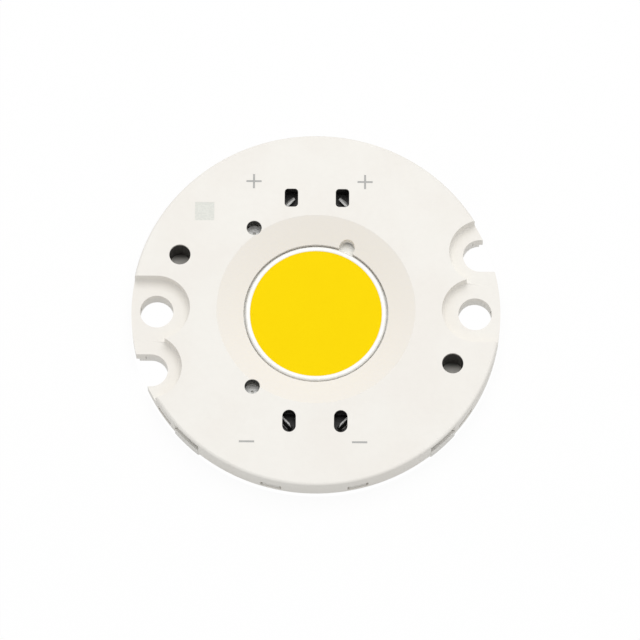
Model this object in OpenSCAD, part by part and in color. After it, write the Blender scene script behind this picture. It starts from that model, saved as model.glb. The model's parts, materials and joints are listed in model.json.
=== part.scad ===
// Round chip-on-board LED array in a white two-part housing with poke-in wire contacts.
// Millimetres, +Z up, origin at the centre of the thermal face on the underside.

/* [Housing] */
// Radius of the cover
cover_r = 18.2; // [18:0.05:19]
// Height of the top face above the thermal face
total_h = 3.4; // [3.3:0.05:3.8]
// Thickness of the cover's top wall
top_wall = 0.9; // [0.75:0.05:1]
// Thickness of the cover's skirt
skirt_wall = 0.9; // [0.7:0.05:1]
// Rounding of the cover's top edge
edge_round = 0.28; // [0.1:0.02:0.4]
// Height of the frame's flange above the thermal face
flange_h = 0.7; // [0.5:0.05:0.8]
// How far the flange stands back from the skirt
flange_setback = 0.3; // [0.1:0.05:0.5]
// How far the thermal face stands below the frame
plate_proud = 0.1; // [0.05:0.01:0.2]
// Clearance between the mouldings where they slide together
fit_gap = 0.05; // [0.03:0.01:0.1]
// Thickness of the ribs and walls inside the cover
rib_wall = 0.5; // [0.4:0.05:0.6]

/* [Light opening] */
// Clearance between the dam ring and the cover's collar
dam_gap = 0.15; // [0.1:0.01:0.3]
// Width of the bevel, seen from above
bevel_w = 2.65; // [2.2:0.05:2.8]
// Depth of the bevel's foot below the top face
bevel_depth = 1.3; // [1.1:0.05:1.35]
// Thickness of the collar that bears on the circuit
collar_wall = 0.7; // [0.5:0.05:0.8]
// Radius of the temperature probe's notch in the collar
probe_notch_r = 0.78; // [0.6:0.02:0.9]
// How far that notch's middle lies outside the collar's inner face
probe_notch_out = 0.25; // [0.1:0.05:0.4]
// Polar angle of that notch
probe_notch_turn = 66; // [60:1:72]

/* [Screw seats] */
// Distance between the two screw holes
screw_spacing = 31.4; // [31:0.1:31.8]
// Radius of the screw holes and of the notches
screw_r = 1.65; // [1.5:0.05:1.75]
// Radius of the seats that take the screw heads
seat_r = 3.3; // [3.1:0.05:3.4]
// Depth of the seats below the top face
seat_depth = 1.3; // [1.1:0.05:1.4]
// Fillet at the foot of a seat
seat_fillet = 0.3; // [0.15:0.05:0.4]
// Distance between the two open notches for the other screw pattern
notch_spacing = 35; // [34.8:0.1:35.3]
// Polar angle of the line through the two notches
notch_turn = 20.4; // [19.5:0.1:21]
// How far a notch's round end lies inside its screw's place
notch_inset = 0.25; // [0.1:0.05:0.4]

/* [Optic locators] */
// Distance of a locator hole from the centre
locator_at = 14.57; // [14.4:0.01:14.7]
// Angle of a locator hole from the X axis
locator_turn = 22.35; // [22:0.05:23]
// Radius of a locator hole
locator_r = 1.05; // [0.9:0.05:1.2]
// Thickness left under a locator hole
locator_floor = 0.35; // [0.3:0.05:0.6]

/* [Wire ports] */
// Distance of a release slot's centre from the Y axis
slot_x = 2.53; // [2.4:0.01:2.65]
// Width of the release slots
slot_w = 1.33; // [1.1:0.01:1.5]
// Length of the two release slots on the positive side
slot_len_positive = 1.9; // [1.7:0.05:2.1]
// Corner radius of those two slots
slot_corner_positive = 0.35; // [0.1:0.05:0.5]
// Length of the two release slots on the negative side
slot_len_negative = 2.28; // [2:0.02:2.3]
// Angle of a wire's channel to the X axis
port_slant = 8.6; // [8:0.1:9.4]
// Width of a wire's channel
channel_w = 1.9; // [1.8:0.05:2]
// Width of a channel's flared mouth at the rim
mouth_w = 2.75; // [2.5:0.05:2.9]
// Length of the flare behind the rim
mouth_len = 3.2; // [2.5:0.1:4]
// Thickness of the wall over a channel
port_roof = 0.4; // [0.35:0.05:0.6]

/* [Test points] */
// Distance of both test holes from the side edge of the frame's window
test_inset_x = 3.02; // [2.9:0.01:3.1]
// Distance of the positive test hole from the upper edge of the window
test_inset_positive = 0.8; // [0.75:0.05:1]
// Distance of the negative test hole from the lower edge of the window
test_inset_negative = 1.1; // [0.8:0.05:1.1]
// Radius of the test holes
test_r = 0.75; // [0.6:0.05:0.8]
// Radius of the dimple that centres a test tip
dimple_r = 0.16; // [0.1:0.02:0.25]

/* [Latches] */
// Angle from the X axis to the latch nearest to it, in each quarter
latch_turn_low = 35.6; // [35:0.1:36.5]
// Angle from the X axis to the other latch
latch_turn_high = 76.4; // [60:0.1:80]
// Width of a latch window
window_w = 2.1; // [1.8:0.05:2.3]
// Height of a latch window
window_h = 0.85; // [0.7:0.05:0.95]
// Height of the skirt's bar under a window
window_bar = 0.4; // [0.35:0.05:0.5]
// Clearance each side of a hook in its window
hook_gap = 0.2; // [0.1:0.02:0.3]
// How far a hook's nose stays behind the skirt's face
hook_setback = 0.12; // [0.05:0.01:0.2]

/* [Circuit] */
// Corner radius of the plate
plate_corner = 3; // [2:0.1:4]
// Thickness of the plate
plate_h = 1.2; // [1.1:0.05:1.3]
// Clearance round the plate
plate_gap = 0.1; // [0.05:0.01:0.15]
// Width of the frame's ledge over the plate's edge
ledge_w = 0.9; // [0.7:0.05:1]
// Thickness of the frame over the plate's edge
web_h = 0.2; // [0.2:0.01:0.3]
// Thickness of the insulating layer
insulator_h = 0.08; // [0.05:0.01:0.12]
// Thickness of the copper tracks
track_h = 0.05; // [0.03:0.01:0.08]
// Thickness of the white mask over the tracks
mask_cover = 0.05; // [0.03:0.01:0.08]
// How far the curved tracks reach inside the emitter's edge
track_inset = 0.3; // [0.2:0.05:0.4]
// Width of the curved tracks
track_w = 0.7; // [0.5:0.05:0.8]
// Angle at each end that a curved track stops short of the X axis
track_stop = 12; // [8:1:20]
// Length of a contact pad, along X
pad_len = 2.4; // [1.8:0.1:3]
// Width of a contact pad, along Y
pad_w = 0.7; // [0.6:0.05:0.75]
// Room for the contact pads between the cover's collar and the frame's ledge
pad_room = 1.35; // [1.3:0.01:1.5]
// Distance of a contact pad's middle from the frame's ledge
pad_inset = 0.5; // [0.45:0.01:0.55]
// How far the mask laps over a pad's edge
mask_lap = 0.08; // [0.04:0.01:0.12]

/* [Emitter] */
// Radius of the light-emitting surface
emitter_r = 6.5; // [6.4:0.02:6.55]
// Width of the dam ring
dam_w = 0.5; // [0.4:0.02:0.55]
// Height of the dam ring above the mask
dam_h = 0.66; // [0.5:0.02:0.8]
// How far the phosphor's edge lies below the dam's top
fill_drop = 0.08; // [0.04:0.01:0.12]
// Rise of the phosphor's middle above its edge
fill_dome = 0.04; // [0.02:0.01:0.07]
// Number of strings of chips, and of chips in each string
strings = 9; // [5:2:11]
// Polar angle at which the outermost strings end
string_end_turn = 36; // [34:1:40]
// Distance between the strings' ends and the curved tracks
string_gap = 0.25; // [0.15:0.01:0.3]
// Length of a chip, along its string
chip_len = 0.55; // [0.4:0.05:0.6]
// Width of a chip
chip_w = 0.4; // [0.3:0.05:0.6]
// Thickness of a chip
chip_h = 0.15; // [0.1:0.01:0.2]
// Thickness of a bond wire
bond_t = 0.04; // [0.03:0.01:0.06]
// Rise of a bond wire's loop
bond_rise = 0.14; // [0.1:0.01:0.2]

/* [Contacts] */
// Thickness of the contact strip
strip_t = 0.2; // [0.15:0.01:0.22]
// Half length of the contact's floor, along X
cage_half = 3.95; // [3.8:0.05:4.1]
// Width of the contact's floor, along Y
cage_w = 2.4; // [2.3:0.05:2.45]
// Clearance between the contact and the frame's ledge
cage_ledge_gap = 0.2; // [0.1:0.05:0.3]
// Distance from the contact's inner edge to the release slots' centre
cage_inset = 1.2; // [1.15:0.01:1.22]
// Clearance over the contact's upright walls
cage_gap = 0.1; // [0.05:0.01:0.15]
// Distance from a slot's centre to the root of its wire lance, along X
lance_root = 1; // [0.8:0.05:1.1]
// Length of a lance
lance_len = 1.95; // [1.7:0.05:2]
// Angle of a lance to the X axis
lance_turn = 46; // [40:1:50]
// Lean of a lance's face from the upright
lance_roll = 28; // [15:1:35]
// Width of a lance, from its upper edge to its lower one
lance_w = 0.75; // [0.5:0.05:0.8]
// Length of a lance's tapered tip
lance_tip = 0.5; // [0.3:0.05:0.7]
// Width of the spring finger that bears on the pad
finger_w = 1.4; // [1.1:0.1:1.5]
// Clearance round the spring finger
finger_gap = 0.2; // [0.15:0.01:0.3]
// Width of the arm to the test point
arm_w = 0.9; // [0.7:0.05:1]
// Distance from the contact's end to the middle of that arm's root
arm_root = 0.65; // [0.5:0.05:0.8]
// Clearance round the arm where it crosses the frame's ledge
arm_gap = 0.1; // [0.05:0.01:0.15]

/* [Marks] */
// Distance of the left plus sign from the Y axis
plus_left = 6.25; // [6:0.05:7]
// Distance of the right plus sign from the Y axis
plus_right = 4.76; // [4.5:0.02:6]
// Distance of the plus signs from the X axis
plus_y = 13.3; // [13:0.05:14]
// Distance of the left minus sign from the Y axis
minus_left = 6.66; // [6:0.02:7]
// Distance of the right minus sign from the Y axis
minus_right = 4.39; // [4.3:0.01:6]
// Distance of the minus signs from the X axis
minus_y = 13.75; // [13.3:0.05:14.2]
// Length of a mark's strokes
mark_len = 1.5; // [1:0.1:1.8]
// Width of a mark's strokes
mark_w = 0.2; // [0.1:0.02:0.3]
// Depth of the marks
mark_depth = 0.04; // [0.02:0.01:0.08]
// Side of the shallow square for a batch code
square_side = 1.9; // [1.5:0.1:2.2]
// Distance of that square from the Y axis
square_x = 11.1; // [11:0.05:11.3]
// Distance of that square from the X axis
square_y = 10.1; // [10:0.05:10.3]

/* [Hidden] */
$fn = 96;
// Rings that form the phosphor's crowned surface
crown_rings = 6;
// Every cut runs past the faces that it opens by this much
past = 1;

floor_top = plate_h + web_h;
insulator_top = plate_h + insulator_h;
track_top = insulator_top + track_h;
mask_top = track_top + mask_cover;
strip_top = floor_top + strip_t;
cavity_top = total_h - top_wall;
seat_floor = total_h - seat_depth;
bevel_foot = total_h - bevel_depth;
channel_top = total_h - port_roof;
cage_top = cavity_top - cage_gap;

// From the emitter outwards: dam, collar, pads, plate, ledge, contacts, release slots
dam_out_r = emitter_r + dam_w;
bevel_foot_r = dam_out_r + dam_gap;
bevel_top_r = bevel_foot_r + bevel_w;
probe_notch_at = bevel_foot_r + probe_notch_out;
window_half = bevel_foot_r + collar_wall + pad_room;
pocket_half = window_half + ledge_w;
plate_half = pocket_half - plate_gap;
ledge_half = pocket_half + plate_gap;
spine_y = ledge_half + cage_ledge_gap;
slot_y = spine_y + cage_inset;
pad_y = window_half - pad_inset;
test_x = window_half - test_inset_x;
test_y_positive = window_half - test_inset_positive;
test_y_negative = window_half - test_inset_negative;
track_r = emitter_r - track_inset;
chip_field_r = track_r - string_gap;
string_pitch = 2 * chip_field_r * cos(string_end_turn) / (strings - 1);

// Polar angle at which a channel's middle line meets the rim
port_offset = slot_y * cos(port_slant) - slot_x * sin(port_slant);
port_turn = port_slant + asin(port_offset / cover_r);

skirt_in_r = cover_r - skirt_wall;
flange_r = cover_r - flange_setback;
body_r = skirt_in_r - fit_gap;
dam_top = mask_top + dam_h;
fill_edge = dam_top - fill_drop;
mask_lap_r = emitter_r - mask_lap;

window_z = flange_h + window_bar;
notch_at = [notch_spacing / 2 * cos(notch_turn), notch_spacing / 2 * sin(notch_turn)];
locator_pos = locator_at * [cos(locator_turn), -sin(locator_turn)];
screw_at = [screw_spacing / 2, 0];
chip_top = plate_h + chip_h;
bond_r = (track_r + mask_lap_r) / 2;
// Places along a channel, from its slot's centre: behind the contact, at the flare, at the rim
channel_start = (cage_half + fit_gap - slot_x) / cos(port_slant) + (channel_w / 2 + rib_wall) * tan(port_slant);
mouth_at = norm([cover_r * cos(port_turn) - slot_x, cover_r * sin(port_turn) - slot_y]);
flare_at = mouth_at - mouth_len;

// ---- shapes that several pieces share ----

module in_each_quarter() {
    for (flip_x = [0, 1], flip_y = [0, 1])
        mirror([flip_x, 0, 0]) mirror([0, flip_y, 0]) children();
}

module on_both_sides() {
    for (turn = [0, 180]) rotate(turn) children();
}

module rounded_square(half, corner) {
    square([2 * half, 2 * (half - corner)], center = true);
    square([2 * (half - corner), 2 * half], center = true);
    for (x = [-1, 1], y = [-1, 1])
        translate((half - corner) * [x, y]) circle(corner);
}

// A ribbon of even thickness through a list of points, with round joints
module ribbon(points, thickness) {
    for (i = [0 : len(points) - 2]) {
        step = points[i + 1] - points[i];
        translate(points[i]) rotate(atan2(step.y, step.x))
            translate([0, -thickness / 2]) square([norm(step), thickness]);
    }
    for (p = points) translate(p) circle(thickness / 2);
}

// Plan of an open U: a round end at the origin and straight sides towards +X
module open_u(r) {
    circle(r);
    translate([0, -r]) square([cover_r, 2 * r]);
}

// ---- screw seats ----

// The section of a seat from its axis outwards, with its fillet at the foot
module seat_section() {
    square([seat_r - seat_fillet, seat_depth + past]);
    translate([0, seat_fillet]) square([seat_r, seat_depth + past - seat_fillet]);
    translate([seat_r - seat_fillet, seat_fillet]) circle(seat_fillet);
}

// A seat for a screw's head, open to the rim on its +X side
module seat_cut() {
    translate([0, 0, seat_floor]) {
        rotate_extrude() intersection() {
            seat_section();
            square(2 * cover_r);
        }
        rotate([90, 0, 90]) linear_extrude(cover_r) {
            seat_section();
            mirror([1, 0]) seat_section();
        }
    }
}

module at_screws() {
    on_both_sides() translate(screw_at) children();
}

module at_notches() {
    on_both_sides() translate(notch_at) children();
}

module screw_holes_and_notches() {
    at_screws() translate([0, 0, -past]) cylinder(r = screw_r, h = total_h + 2 * past);
    at_notches() translate([-notch_inset, 0, -past])
        linear_extrude(total_h + 2 * past) open_u(screw_r);
}

// ---- wire channels ----

// Plan of a channel widened by a margin each side, from one distance along it to the rim
module channel_plan(from, margin) {
    half = channel_w / 2 + margin;
    mouth = mouth_w / 2 + margin;
    translate([slot_x, slot_y]) rotate(port_slant) polygon([
        [from, -half], [flare_at, -half], [mouth_at, -mouth], [2 * cover_r, -mouth],
        [2 * cover_r, mouth], [mouth_at, mouth], [flare_at, half], [from, half]
    ]);
}

module channel_prism(from, margin, low, high, reach) {
    translate([0, 0, low]) linear_extrude(high - low) intersection() {
        channel_plan(from, margin);
        circle(reach);
    }
}

// ---- circuit ----

module base_plate() {
    color("silver") linear_extrude(plate_h) rounded_square(plate_half, plate_corner);
}

module circuit_plan(hole_r) {
    difference() {
        rounded_square(window_half - plate_gap, plate_corner - ledge_w);
        circle(hole_r);
    }
}

module insulator_layer() {
    color("ivory") translate([0, 0, plate_h]) linear_extrude(insulator_h) circuit_plan(track_r);
}

// A curved track round one half of the emitter, with its neck and its contact pad
module track_solid() {
    translate([0, 0, insulator_top]) linear_extrude(track_h) {
        difference() {
            circle(track_r + track_w);
            circle(track_r);
            translate([-2 * emitter_r, -4 * emitter_r + track_r * sin(track_stop)])
                square(4 * emitter_r);
        }
        translate([-pad_w, track_r + track_w / 2]) square([2 * pad_w, pad_y - track_r - track_w / 2]);
        translate([0, pad_y]) square([pad_len, pad_w], center = true);
    }
}

module track_positive() {
    color("darkgoldenrod") track_solid();
}

module track_negative() {
    color("darkgoldenrod") mirror([0, 1, 0]) track_solid();
}

module white_mask() {
    color("white") difference() {
        translate([0, 0, insulator_top]) linear_extrude(mask_top - insulator_top)
            circuit_plan(mask_lap_r);
        track_solid();
        mirror([0, 1, 0]) track_solid();
        for (flip = [0, 1]) mirror([0, flip, 0]) translate([0, pad_y, insulator_top])
            linear_extrude(past)
                square([pad_len - 2 * mask_lap, pad_w - 2 * mask_lap], center = true);
    }
}

// ---- emitter ----

function string_x(i) = (i - (strings - 1) / 2) * string_pitch;
function string_half(i) = sqrt(pow(chip_field_r, 2) - pow(string_x(i), 2));
function chip_pitch(i) = 2 * string_half(i) / strings;
function chip_y(i, j) = -string_half(i) + (j + 0.5) * chip_pitch(i);

module led_chips() {
    color("lightsteelblue") for (i = [0 : strings - 1], j = [0 : strings - 1])
        translate([string_x(i) - chip_w / 2, chip_y(i, j) - chip_len / 2, plate_h])
            cube([chip_w, chip_len, chip_h]);
}

// One looped wire of a string, from one landing to the next, each given as [y, z]
module bond_loop(x, start, end) {
    crown = max(start.y, end.y) + bond_rise;
    run = end.x - start.x;
    translate([x - bond_t / 2, 0, 0]) rotate([90, 0, 90]) linear_extrude(bond_t) polygon([
        [start.x, start.y], [start.x + bond_t, start.y],
        [start.x + run / 4 + bond_t, crown - bond_t], [end.x - run / 4 - bond_t, crown - bond_t],
        [end.x - bond_t, end.y], [end.x, end.y],
        [end.x - run / 4, crown], [start.x + run / 4, crown]
    ]);
}

module bond_wires() {
    land = chip_len / 4;
    color("gold") for (i = [0 : strings - 1]) {
        x = string_x(i);
        rail = sqrt(pow(bond_r, 2) - pow(x, 2));
        for (j = [0 : strings - 2])
            bond_loop(x, [chip_y(i, j) + land, chip_top], [chip_y(i, j + 1) - land, chip_top]);
        bond_loop(x, [-rail, track_top], [chip_y(i, 0) - land, chip_top]);
        bond_loop(x, [chip_y(i, strings - 1) + land, chip_top], [rail, track_top]);
    }
}

module dam_ring() {
    color("whitesmoke") translate([0, 0, mask_top]) rotate_extrude() {
        translate([emitter_r, 0]) square([dam_w, dam_h - dam_w / 2]);
        translate([emitter_r + dam_w / 2, dam_h - dam_w / 2]) intersection() {
            circle(dam_w / 2);
            translate([-dam_w, 0]) square(2 * dam_w);
        }
    }
}

// Height of the phosphor's crowned surface at a distance from the middle
function crown_z(r) = fill_edge + fill_dome * (1 - pow(r / emitter_r, 2));

module phosphor_fill() {
    color("gold") difference() {
        rotate_extrude() polygon(concat(
            [[0, plate_h], [track_r, plate_h], [track_r, insulator_top], [mask_lap_r, insulator_top],
             [mask_lap_r, mask_top], [emitter_r, mask_top]],
            [for (i = [crown_rings : -1 : 0]) [emitter_r * i / crown_rings, crown_z(emitter_r * i / crown_rings)]]
        ));
        led_chips();
        bond_wires();
        track_positive();
        track_negative();
    }
}

// ---- contacts ----

// The lance that grips a wire, for the port on the +X side: a leaning tongue off the spine
module lance() {
    translate([slot_x + lance_root, spine_y + strip_t / 2, cage_top - strip_t / 2])
        rotate(180 - lance_turn) rotate([90 - lance_roll, 0, 0])
            linear_extrude(strip_t, center = true) polygon([
                [0, 0], [0, -lance_w], [lance_len - lance_tip, -lance_w],
                [lance_len, -lance_w * 2 / 3], [lance_len, -lance_w / 6], [lance_len - lance_tip, 0]
            ]);
}

// Plan of the arm to the test point, widened by a margin
module arm_plan(test_y, margin) {
    ribbon([[arm_root - cage_half, spine_y + strip_t / 2], [-test_x, test_y]], arm_w + 2 * margin);
    translate([-test_x, test_y]) circle(test_r + strip_t / 2 + margin);
}

// The spring finger in section: out of the spine, down to the pad, and up at its tip
module finger_section() {
    mid = strip_t / 2;
    high = floor_top + 2 * strip_t;
    ribbon([
        [spine_y + mid, high + mid],
        [window_half + strip_t, high + mid],
        [pad_y + mid / 2, track_top + mid],
        [pad_y - pad_w / 3, track_top + 2 * mid]
    ], strip_t);
}

// One formed strip: floor, spine, outer walls, two pairs of lances, finger and test point
module contact_solid(test_y) {
    translate([0, 0, floor_top]) linear_extrude(strip_t)
        translate([-cage_half, spine_y]) square([2 * cage_half, cage_w]);
    translate([0, 0, floor_top]) linear_extrude(cage_top - floor_top)
        translate([-cage_half, spine_y]) square([2 * cage_half, strip_t]);
    for (flip = [0, 1]) mirror([flip, 0, 0]) {
        translate([slot_x - slot_w / 2, spine_y + cage_w - strip_t, floor_top])
            cube([cage_half - slot_x + slot_w / 2, strip_t, cage_top - floor_top - strip_t]);
        lance();
    }
    rotate([90, 0, 90]) translate([0, 0, -finger_w / 2]) linear_extrude(finger_w) finger_section();
    translate([0, 0, floor_top]) linear_extrude(strip_t) difference() {
        arm_plan(test_y, 0);
        translate([-test_x, test_y]) circle(dimple_r);
    }
}

module contact_positive() {
    color("lightgray") contact_solid(test_y_positive);
}

module contact_negative() {
    color("lightgray") mirror([0, 1, 0]) contact_solid(test_y_negative);
}

// ---- bottom frame ----

// One latch hook at the frame's edge, pointing along +X
module hook() {
    nose = cover_r - hook_setback;
    high = window_z + window_h - fit_gap;
    low = window_z + fit_gap;
    rotate([90, 0, 0])
        translate([0, 0, -window_w / 2 + hook_gap]) linear_extrude(window_w - 2 * hook_gap) polygon([
            [body_r - rib_wall, low], [nose, low], [nose, low + window_h / 4],
            [body_r, high], [body_r - rib_wall, high]
        ]);
}

module at_latches() {
    in_each_quarter() for (turn = [latch_turn_low, latch_turn_high]) rotate(turn) children();
}

module bottom_frame() {
    color("whitesmoke") difference() {
        union() {
            translate([0, 0, plate_proud]) cylinder(r = flange_r, h = flange_h - plate_proud);
            translate([0, 0, plate_proud]) cylinder(r = body_r, h = floor_top - plate_proud);
            linear_extrude(strip_top) rounded_square(ledge_half, plate_corner + 2 * plate_gap);
            in_each_quarter() {
                channel_prism(channel_start, -fit_gap, floor_top, strip_top, body_r);
                channel_prism(flare_at, -fit_gap, plate_proud, strip_top, cover_r);
            }
            at_latches() hook();
        }
        translate([0, 0, -past]) linear_extrude(past + plate_h)
            rounded_square(pocket_half, plate_corner + plate_gap);
        translate([0, 0, -past]) linear_extrude(2 * past + strip_top)
            rounded_square(window_half, plate_corner - ledge_w + plate_gap);
        translate([0, 0, floor_top])
            linear_extrude(past) {
                square([finger_w + 2 * finger_gap, 2 * cover_r], center = true);
                arm_plan(test_y_positive, arm_gap);
                mirror([0, 1]) arm_plan(test_y_negative, arm_gap);
            }
        screw_holes_and_notches();
        on_both_sides() translate([locator_pos.x, locator_pos.y, locator_floor])
            cylinder(r = locator_r, h = total_h);
    }
}

// ---- top cover ----

// The cover's section: top wall and skirt, with the rounded edge
module cover_section() {
    translate([0, cavity_top]) square([cover_r - edge_round, top_wall]);
    translate([skirt_in_r, flange_h]) square([skirt_wall, total_h - edge_round - flange_h]);
    translate([skirt_in_r, cavity_top]) square([skirt_wall - edge_round, top_wall]);
    translate([cover_r - edge_round, total_h - edge_round]) circle(edge_round);
}

// The conical wall round the light opening and the collar at its foot
module funnel_section() {
    polygon([
        [bevel_foot_r, mask_top], [bevel_foot_r, bevel_foot], [bevel_top_r, total_h],
        [bevel_top_r + top_wall, total_h], [bevel_top_r + top_wall, cavity_top],
        [bevel_top_r - collar_wall, cavity_top], [bevel_foot_r + collar_wall, mask_top]
    ]);
}

module seat_wells() {
    intersection() {
        translate([0, 0, floor_top]) linear_extrude(total_h - edge_round - floor_top) {
            at_screws() open_u(seat_r + rib_wall);
            at_notches() open_u(seat_r + rib_wall);
        }
        cylinder(r = cover_r, h = total_h);
    }
}

module channel_walls() {
    difference() {
        channel_prism(channel_start, rib_wall, floor_top, cavity_top + top_wall / 2, skirt_in_r);
        channel_prism(-cover_r, 0, -past, channel_top, 2 * cover_r);
    }
}

// A slot through the top wall, given its plan
module through_top_wall() {
    translate([slot_x, slot_y, cavity_top - past]) linear_extrude(top_wall + 2 * past) children();
}

module slot_positive() {
    through_top_wall() {
        square([slot_w - 2 * slot_corner_positive, slot_len_positive], center = true);
        square([slot_w, slot_len_positive - 2 * slot_corner_positive], center = true);
        for (x = [-1, 1], y = [-1, 1]) translate([
            x * (slot_w / 2 - slot_corner_positive),
            y * (slot_len_positive / 2 - slot_corner_positive)
        ]) circle(slot_corner_positive);
    }
}

module slot_negative() {
    through_top_wall() {
        end = (slot_len_negative - slot_w) / 2;
        ribbon([[0, -end], [0, end]], slot_w);
    }
}

module mark(x, y, upright) {
    translate([x, y]) {
        square([mark_len, mark_w], center = true);
        if (upright) square([mark_w, mark_len], center = true);
    }
}

// The polarity marks and the shallow square, sunk into the top face
module marks_cut() {
    translate([0, 0, total_h - mark_depth]) linear_extrude(past) {
        mark(-plus_left, plus_y, true);
        mark(plus_right, plus_y, true);
        mark(-minus_left, -minus_y, false);
        mark(minus_right, -minus_y, false);
        translate([-square_x, square_y]) square(square_side, center = true);
    }
}

module top_cover() {
    color("ivory") difference() {
        union() {
            difference() {
                rotate_extrude() cover_section();
                translate([0, 0, -past]) cylinder(r = bevel_top_r, h = total_h + 2 * past);
            }
            rotate_extrude() funnel_section();
            seat_wells();
            in_each_quarter() channel_walls();
            on_both_sides() translate([locator_pos.x, locator_pos.y, floor_top])
                cylinder(r = locator_r + rib_wall, h = cavity_top - floor_top + top_wall / 2);
            for (flip = [0, 1]) mirror([0, flip, 0])
                translate([-rib_wall / 2, spine_y + strip_t + fit_gap, strip_top])
                    cube([rib_wall, cage_w - strip_t, cavity_top - strip_top + top_wall / 2]);
        }
        at_screws() seat_cut();
        at_notches() seat_cut();
        screw_holes_and_notches();
        on_both_sides() translate([locator_pos.x, locator_pos.y, 0])
            cylinder(r = locator_r, h = total_h + past);
        in_each_quarter() {
            channel_prism(-slot_w, 0, strip_top, channel_top, 2 * cover_r);
            channel_prism(flare_at, 0, -past, channel_top, 2 * cover_r);
        }
        for (flip = [0, 1]) mirror([flip, 0, 0]) {
            slot_positive();
            mirror([0, 1, 0]) slot_negative();
        }
        marks_cut();
        translate([-test_x, test_y_positive, cavity_top - past]) cylinder(r = test_r, h = total_h);
        translate([-test_x, -test_y_negative, cavity_top - past]) cylinder(r = test_r, h = total_h);
        rotate(probe_notch_turn) translate([probe_notch_at, 0, 0])
            cylinder(r = probe_notch_r, h = total_h + past);
        at_latches() translate([body_r - rib_wall - fit_gap, -window_w / 2, window_z])
            cube([cover_r, window_w, window_h]);
    }
}

base_plate();
insulator_layer();
track_positive();
track_negative();
white_mask();
led_chips();
bond_wires();
dam_ring();
phosphor_fill();
contact_positive();
contact_negative();
bottom_frame();
top_cover();
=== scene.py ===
"""Dresses a round chip-on-board LED array: its mouldings, metals, circuit and emitter."""
import json
import logging
import math
from dataclasses import dataclass, field
from enum import Enum
from functools import reduce
from typing import Callable, Iterable

import bmesh
import bpy
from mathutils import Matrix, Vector

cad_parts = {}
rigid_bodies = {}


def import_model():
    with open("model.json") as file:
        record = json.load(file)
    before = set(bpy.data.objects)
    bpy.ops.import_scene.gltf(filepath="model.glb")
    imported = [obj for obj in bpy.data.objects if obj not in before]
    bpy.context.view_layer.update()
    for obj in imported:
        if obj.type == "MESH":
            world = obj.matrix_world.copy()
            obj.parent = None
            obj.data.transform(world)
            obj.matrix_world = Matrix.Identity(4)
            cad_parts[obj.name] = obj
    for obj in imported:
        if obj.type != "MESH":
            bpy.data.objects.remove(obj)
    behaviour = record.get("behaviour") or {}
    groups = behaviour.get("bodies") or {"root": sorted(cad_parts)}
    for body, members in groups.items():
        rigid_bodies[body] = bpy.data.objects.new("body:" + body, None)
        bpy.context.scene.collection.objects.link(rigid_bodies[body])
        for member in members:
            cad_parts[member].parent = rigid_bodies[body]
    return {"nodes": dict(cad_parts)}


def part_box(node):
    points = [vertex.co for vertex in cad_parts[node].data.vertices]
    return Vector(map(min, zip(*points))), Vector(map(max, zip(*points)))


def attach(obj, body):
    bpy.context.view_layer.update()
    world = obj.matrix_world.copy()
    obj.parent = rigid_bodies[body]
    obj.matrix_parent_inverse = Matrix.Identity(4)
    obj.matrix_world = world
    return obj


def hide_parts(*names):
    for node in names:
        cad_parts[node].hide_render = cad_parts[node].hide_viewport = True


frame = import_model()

LOG = logging.getLogger("cob_led")
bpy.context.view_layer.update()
MM = 0.001

Material = bpy.types.Material
Object = bpy.types.Object
Socket = bpy.types.NodeSocket
Tree = bpy.types.NodeTree
Value = float | Socket
Pair = tuple[float, float]
Triple = tuple[float, float, float]
Colour = Triple


class Coat(Enum):
    """How a surface of this object is finished."""

    MATT = 0.58
    SATIN = 0.42
    GLOSS = 0.2


class Plan(Enum):
    """Outline of a hollow, seen from above."""

    ROUND = "round"
    BOX = "box"


class Band(Enum):
    """Range of a noise value that a finish spreads over its whole range."""

    WIDE = (0.3, 0.7)
    NARROW = (0.35, 0.65)
    SPARSE = (0.35, 0.7)
    POWDER = (0.3, 0.75)
    CLOUDS = (0.35, 0.75)


class Places(Enum):
    """Where a hollow is repeated round the centre."""

    ONE = "one"
    OPPOSITE = "opposite"
    QUARTERS = "quarters"


# ---- shader building ----


def join(tree: Tree, target: Socket, value: object) -> None:
    """Links a socket to an input, or sets the input's constant.

    Args:
        tree: The tree that both stand in.
        target: The input socket.
        value: A socket, a number, a tuple or a material.
    """
    if isinstance(value, Socket):
        tree.links.new(value, target)
    else:
        target.default_value = value


def reckon(tree: Tree, operation: str, a: object, b: object, kind: str = "Math") -> Socket:
    """Adds a node that works out one value from two.

    Args:
        tree: The tree.
        operation: The node's operation.
        a: First value.
        b: Second value.
        kind: Math or VectorMath.

    Returns:
        The result.
    """
    node = tree.nodes.new(f"ShaderNode{kind}")
    node.operation = operation
    join(tree, node.inputs[0], a)
    join(tree, node.inputs[1], b)
    return node.outputs[0]


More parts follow.
